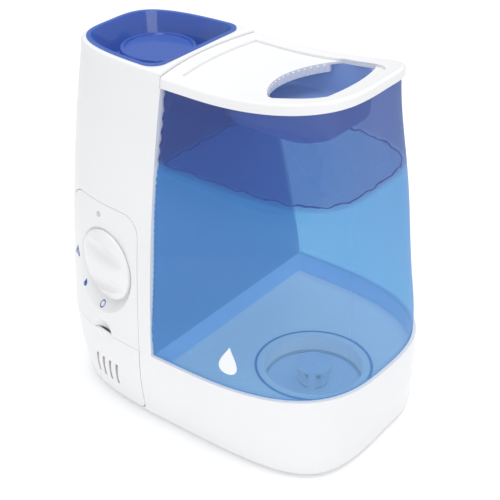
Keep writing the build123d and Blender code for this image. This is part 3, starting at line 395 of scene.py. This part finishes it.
# Pad printing on the panel and screen printing on the tank: thin flat ink, a little duller than the plastic.
inkBlue = mouldedPlastic("pad printing ink", symbolSettings["ink"], "#375CAE", 0.45, 0.0)
inkWhite = mouldedPlastic("white screen printing ink", "#F4F6F8", "#EEF1F4", 0.4, 0.0)
panelSurface = nodeTree("control_panel")
tankSurface = nodeTree("tank_shell")
offRing = symbolSettings["offRing"]
printedMark(
    "off_symbol", panelSurface, ringOutline(*offRing["place"], offRing["radius"]), inkBlue, "base", 2,
    inner=1 - offRing["line"],
)
for group in ("lowDrops", "highDrops"):
    for index, place in enumerate(symbolSettings[group]):
        outline = dropOutline(*place, *symbolSettings["dropSize"])
        printedMark(f"{group}_{index}", panelSurface, outline, inkBlue, "base", 3)
tankDrop = symbolSettings["tankDrop"]
outline = dropOutline(*tankDrop["place"], *tankDrop["size"], 72)
printedMark("tank_drop", tankSurface, outline, inkWhite, "tank", 8)
print("stage: printed symbols")


# The tank: its wall from the plug's foot to the lid, its floor, and the neck that the cap screws on.
tankSettings = {
    "around": 640,
    "rows": 44,
    "wall": 0.0026,
    "floorUnderRim": 0.0167,
    "rimGap": 0.0008,  # the tinted rows start this far over the base's rim
    "cornerShare": 2.6,  # how strongly points gather where the wall turns
    "neckInside": 0.0404,
    "neckOutside": 1.064,  # as a share of the inside
    "neckDepth": 0.0138,
    "neckShoulder": 0.0028,
    "neckEdge": (0.0462, 0.0472, 0.0484),
    "neckEdgeAround": 128,
    "neckEdgeLift": 0.0002,
    "plugBend": 0.008,  # the plug's second ring is this far over the floor
    "plugTop": 0.0003,  # and its last ring this far over the rim
    "measured": 0.08,  # the wall's turning is measured this far over the rim
    "lidStart": 0.1,  # the wall reaches at least this far over the rim
    "topInset": 0.0001,
    "floorInset": 0.0006,
    "floorProbe": 0.001,  # the floor's edge is found this far under its face
}
tankLow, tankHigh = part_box("tank_shell")
tankMiddle = ((tankLow[0] + tankHigh[0]) / 2, 0.0)
capLow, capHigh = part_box("tank_cap")
neckPlace = ((capLow[0] + capHigh[0]) / 2, (capLow[1] + capHigh[1]) / 2)
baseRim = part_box("base_housing")[1][2]
tankFloor = baseRim - tankSettings["floorUnderRim"]


def inwardHits(middle, angles, heights):
    # The tank's outer face, met by level rays that run towards a middle. heights is one row for each ring.
    rays = np.broadcast_to(unitRays(angles), (*heights.shape, 3)).reshape(-1, 3)
    starts = np.empty((heights.size, 3), np.float32)
    starts[:, :2] = middle
    starts[:, 2] = heights.ravel()
    return castRays(tankSurface, starts + rays * farAway, -rays)[0]


def wallAngles():
    # Angles of rays that meet the wall at even steps, with more of them where it turns: a fine loop is
    # measured, its length and its smoothed turning are added up, and the sum is cut into equal steps.
    fine = np.linspace(0, 2 * math.pi, 1440, endpoint=False) + seamTurn
    loop = inwardHits(tankMiddle, fine, np.full((1, len(fine)), baseRim + tankSettings["measured"]))[:, :2]
    along = np.roll(loop, -1, axis=0) - loop
    length = np.hypot(*along.T)
    turn = np.abs(np.gradient(np.unwrap(np.arctan2(along[:, 1], along[:, 0]))))
    bell = np.exp(-(np.linspace(-3, 3, 61) ** 2) / 2)
    wrapped = np.concatenate([turn[-60:], turn, turn[:60]])
    turn = np.convolve(wrapped, bell / bell.sum(), "same")[60:-60]
    weight = length / length.sum() + tankSettings["cornerShare"] * turn / turn.sum()
    passed = np.concatenate([[0], np.cumsum(weight)])
    steps = np.linspace(0, passed[-1], tankSettings["around"], endpoint=False)
    return np.interp(steps, passed, np.append(fine, fine[0] + 2 * math.pi))


def wallTops(angles, reach=0.02, halvings=14):
    # Highest point of the wall on each ray, by halving: a ray meets the wall if it stops well off the middle.
    tops = []
    for ray in unitRays(angles):
        direction = Vector(ray)
        under, over = baseRim + tankSettings["lidStart"], tankHigh[2]
        for _ in range(halvings):
            height = (under + over) / 2
            middle = Vector((*tankMiddle, height))
            hit = tankSurface.ray_cast(middle + direction * farAway, -direction)[0]
            met = hit is not None and (hit - middle).dot(direction) > reach
            under, over = (height, over) if met else (under, height)
        tops.append(under - tankSettings["topInset"])
    return np.array(tops)


def tankWallPoints():
    # One sheet on the tank's outer face: three rings down the plug, then even rows from the rim to the lid.
    angles = wallAngles()
    start = baseRim + tankSettings["rimGap"]
    shares = np.linspace(0, 1, tankSettings["rows"])[:, None]
    rows = start + (wallTops(angles) - start) * shares
    plug = np.array([
        tankFloor - tankSettings["wall"],
        tankFloor + tankSettings["plugBend"],
        baseRim + tankSettings["plugTop"],
    ])
    heights = np.concatenate([np.repeat(plug[:, None], len(angles), axis=1), rows])
    return inwardHits(tankMiddle, angles, heights)


def tankFloorPoints():
    # The floor from just inside the wall to the neck's edge, then rings down the neck's inside and up its
    # outside.
    angles = np.linspace(0, 2 * math.pi, tankSettings["around"], endpoint=False)
    neck = np.array((*neckPlace, tankFloor))
    probe = np.full((1, len(angles)), tankFloor - tankSettings["floorProbe"])
    edge = inwardHits(neckPlace, angles + seamTurn, probe)
    inward = neck - edge
    edge += inward / np.linalg.norm(inward, axis=1)[:, None] * tankSettings["floorInset"]
    edge[:, 2] = tankFloor
    rays = unitRays(angles) * tankSettings["neckInside"]
    outer = rays * tankSettings["neckOutside"]
    foot = neck - (0, 0, tankSettings["neckDepth"])
    shoulder = neck - (0, 0, tankSettings["neckShoulder"])
    return np.concatenate([edge, neck + rays, foot + rays, foot + outer, shoulder + outer])


def neckEdgePoints():
    # Narrow band on the floor where the neck's root is thicker and looks darker: three rings on one height.
    rays = unitRays(np.linspace(0, 2 * math.pi, tankSettings["neckEdgeAround"], endpoint=False))
    middle = np.array((*neckPlace, tankFloor + tankSettings["neckEdgeLift"]))
    return np.concatenate([middle + rays * radius for radius in tankSettings["neckEdge"]])


def ringPiece(name, points, count, material, smooth=True):
    return meshPiece(name, points, ringFaces(len(points) // count, count), material, "tank", smooth)


tankWall = ringPiece("tank_wall", tankWallPoints(), tankSettings["around"], tankPlastic)
# The rows under the rim take the paler plug material: painted light over the base's shaded well.
tankWall.data.materials.append(plugPlastic)
for face in tankWall.data.polygons:
    if face.center.z < baseRim:
        face.material_index = 1
floorPoints = tankFloorPoints()
tankFloorSheet = ringPiece("tank_floor", floorPoints, tankSettings["around"], floorPlastic, smooth=False)
ringPiece("neck_edge", neckEdgePoints(), tankSettings["neckEdgeAround"], ringPlastic)
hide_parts("tank_shell")
print("stage: tank wall and floor")

# Water: its rippled top with a short skirt, and the uneven dark line where it meets the wall.
waterSettings = {
    "gap": 0.0004,  # between the water and the wall
    "skirt": 0.004,
    "around": 160,
    "rings": 24,
    "ripple": 0.0006,
    "rippleWaves": ((210, 90), (-60, 170)),  # waves along x and y, in radians per metre
    "lineAround": 480,
    "lineWave": 0.0007,
    "lineWaves": ((1.0, 19, 0.0), (0.6, 31, 1.1), (0.4, 57, 0.4)),  # share, waves around, start
    "lineDepth": 0.0011,
    "lineThinnest": 0.0005,
    "lineSwells": ((0.0004, 13, 0.7), (0.0003, 37, 0.0)),  # thickness, swells around, start
}


def waterEdge(height, count):
    # The tank's inner wall at one height, met by rays from its middle, less the gap.
    rays = unitRays(np.linspace(0, 2 * math.pi, count, endpoint=False) + seamTurn)
    hits = castRays(tankSurface, np.tile((*tankMiddle, height), (count, 1)), rays)[0]
    return hits - rays * waterSettings["gap"]


def waterPoints():
    # Skirt ring, top ring, then rings that shrink to the middle, raised by a product of two slanted sines.
    count, rings = waterSettings["around"], waterSettings["rings"]
    skirt = waterEdge(waterLevel - waterSettings["skirt"], count)
    top = waterEdge(waterLevel, count)
    centre = top.mean(axis=0)
    shares = 1 - np.arange(1, rings + 1)[:, None, None] / rings
    inside = centre + (top - centre) * shares
    x, y = inside[..., 0], inside[..., 1]
    calm = np.ones((rings, 1))
    calm[0] = 0.5  # the ring beside the wall
    one, other = (np.sin(x * alongX + y * alongY) for alongX, alongY in waterSettings["rippleWaves"])
    inside[..., 2] += waterSettings["ripple"] * calm * one * other
    return np.concatenate([skirt, top, inside.reshape(-1, 3)])


def waterLinePoints():
    # A bead of three points at each step round the wall: over, inwards and under. Its height is a sum of
    # sines, and its thickness swells where two others are positive.
    edge = waterEdge(waterLevel, waterSettings["lineAround"])
    turn = 2 * math.pi * np.arange(len(edge)) / len(edge)
    inward = edge.mean(axis=0) - edge
    inward /= np.linalg.norm(inward, axis=1)[:, None]
    sines = sum(share * np.sin(waves * turn + start) for share, waves, start in waterSettings["lineWaves"])
    wave = waterSettings["lineWave"] * sines
    swells = (
        most * np.maximum(np.sin(waves * turn + start), 0)
        for most, waves, start in waterSettings["lineSwells"]
    )
    thick = waterSettings["lineThinnest"] + sum(swells)
    rise = np.stack([thick, 0.2 * thick, -0.8 * thick], axis=1) + wave[:, None]
    depth = np.array([0.0, waterSettings["lineDepth"], 0.0])[:, None]
    points = edge[:, None, :] + inward[:, None, :] * depth
    points[..., 2] += rise
    return points.reshape(-1, 3)


def waterLineFaces():
    step = 3 * np.arange(waterSettings["lineAround"])[:, None]
    following = np.roll(step, -1, axis=0)
    side = np.arange(2)
    corners = (step + side, following + side, following + side + 1, step + side + 1)
    return np.stack(corners, axis=-1).reshape(-1, 4).tolist()


# Water: a clear liquid whose top mirrors the tank at a low angle. Its skirt only lets light pass.
waterTop, tree, output = newMaterial("water")
clear = addNode(tree, "ShaderNodeBsdfTransparent", {"Color": linear("#EDF4FC")})
shine = addNode(tree, "ShaderNodeBsdfGlossy", {"Color": (1, 1, 1, 1), "Roughness": 0.02})
mixed = addNode(
    tree, "ShaderNodeMixShader",
    {0: skinGloss(tree, 0.02, 0.4), 1: clear.outputs[0], 2: shine.outputs[0]},
)
tree.links.new(mixed.outputs[0], output.inputs[0])
waterBody, tree, output = newMaterial("water body")
clear = addNode(tree, "ShaderNodeBsdfTransparent", {"Color": linear("#F6FAFD")})
tree.links.new(clear.outputs[0], output.inputs[0])

waterFaces = ringFaces(waterSettings["rings"] + 2, waterSettings["around"])
waterFaces.append(list(reversed(range(waterSettings["around"]))))  # closes the skirt's foot
water = meshPiece("water", waterPoints(), waterFaces, waterTop, "tank")
water.data.materials.append(waterBody)
for face in water.data.polygons:
    if face.center.z < waterLevel - waterSettings["skirt"] / 2:
        face.material_index = 1
# Where the water climbs the wall it bends light away, which shows as a dark wet line. It is painted shade: an
# opaque dark strip with a glossy coat.
paintedWaterLineShade = mouldedPlastic("dark water line", "#3A4F9C", "#5C7CC8", 0.12, 0.6, 0.0)
meshPiece("water_line", waterLinePoints(), waterLineFaces(), paintedWaterLineShade, "tank")
print("stage: water")

cameraSettings = {
    "place": (0.5434, -0.7031, 0.6667),
    "forward": (-0.5206, 0.6810, -0.5150),
    "right": (0.7944, 0.6074, 0.0),
    "lens": 90.0,
    "sensor": 36.0,
    "farthest": 20,
}
camera = bpy.data.objects.new("camera", bpy.data.cameras.new("camera"))
bpy.context.collection.objects.link(camera)
forward = Vector(cameraSettings["forward"]).normalized()
right = Vector(cameraSettings["right"]).normalized()
turned = Matrix((right, right.cross(forward), -forward)).transposed().to_4x4()
camera.matrix_world = Matrix.Translation(cameraSettings["place"]) @ turned
camera.data.lens = cameraSettings["lens"]
camera.data.sensor_width = cameraSettings["sensor"]
camera.data.clip_end = cameraSettings["farthest"]
bpy.context.scene.camera = camera

# Soft boxes: a key from the front right, a weak fill from the left, and a strong one overhead.
lightSettings = {
    "key": {"place": (0.95, -1.35, 0.9), "size": 1.0, "power": 6.5},
    "fill": {"place": (-1.2, -0.9, 1.2), "size": 1.4, "power": 1.5},
    "top": {"place": (0.1, 0.2, 1.7), "size": 1.6, "power": 17},
}
lightAim = Vector((0, 0, 0.15))
for name, setting in lightSettings.items():
    data = bpy.data.lights.new(name, "AREA")
    data.shape = "SQUARE"
    data.size = setting["size"]
    data.energy = setting["power"]
    lamp = bpy.data.objects.new(name, data)
    bpy.context.collection.objects.link(lamp)
    aim = lightAim - Vector(setting["place"])
    turned = aim.to_track_quat("-Z", "Y").to_matrix().to_4x4()
    lamp.matrix_world = Matrix.Translation(setting["place"]) @ turned

# The studio: plain white behind the object, and a dimmer, slightly cool light around it.
world = bpy.data.worlds.new("studio")
bpy.context.scene.world = world
world.use_nodes = True
tree = world.node_tree
tree.nodes.clear()
worldOut = tree.nodes.new("ShaderNodeOutputWorld")
path = addNode(tree, "ShaderNodeLightPath")
seen = addNode(tree, "ShaderNodeBackground", {"Color": (1, 1, 1, 1), "Strength": 1.0})
surround = addNode(tree, "ShaderNodeBackground", {"Color": (0.97, 0.98, 1.0, 1), "Strength": 0.58})
mixed = addNode(
    tree, "ShaderNodeMixShader",
    {0: path.outputs["Is Camera Ray"], 1: surround.outputs[0], 2: seen.outputs[0]},
)
tree.links.new(mixed.outputs[0], worldOut.inputs[0])

# The floor: paper, slightly lit in itself so that it stays white under the object.
sweepSettings = {"reach": 3.0, "color": "#FCFCFC", "glow": 0.16}
reach = sweepSettings["reach"]
floorMesh = bpy.data.meshes.new("floor")
corners = [(-reach, -reach, 0), (reach, -reach, 0), (reach, reach, 0), (-reach, reach, 0)]
floorMesh.from_pydata(corners, [], [(0, 1, 2, 3)])
floor = bpy.data.objects.new("floor", floorMesh)
bpy.context.collection.objects.link(floor)
floorMaterial, tree, output = newMaterial("white paper sweep")
paper = addNode(tree, "ShaderNodeBsdfPrincipled", {
    "Base Color": linear(sweepSettings["color"]),
    "Roughness": 0.6,
    "Emission Color": (1, 1, 1, 1),
    "Emission Strength": sweepSettings["glow"],
})
tree.links.new(paper.outputs[0], output.inputs[0])
floor.data.materials.append(floorMaterial)

scene = bpy.context.scene
scene.view_settings.view_transform = "Standard"
scene.view_settings.look = "None"
scene.cycles.transparent_max_bounces = 24
print("stage: camera, lights and floor")
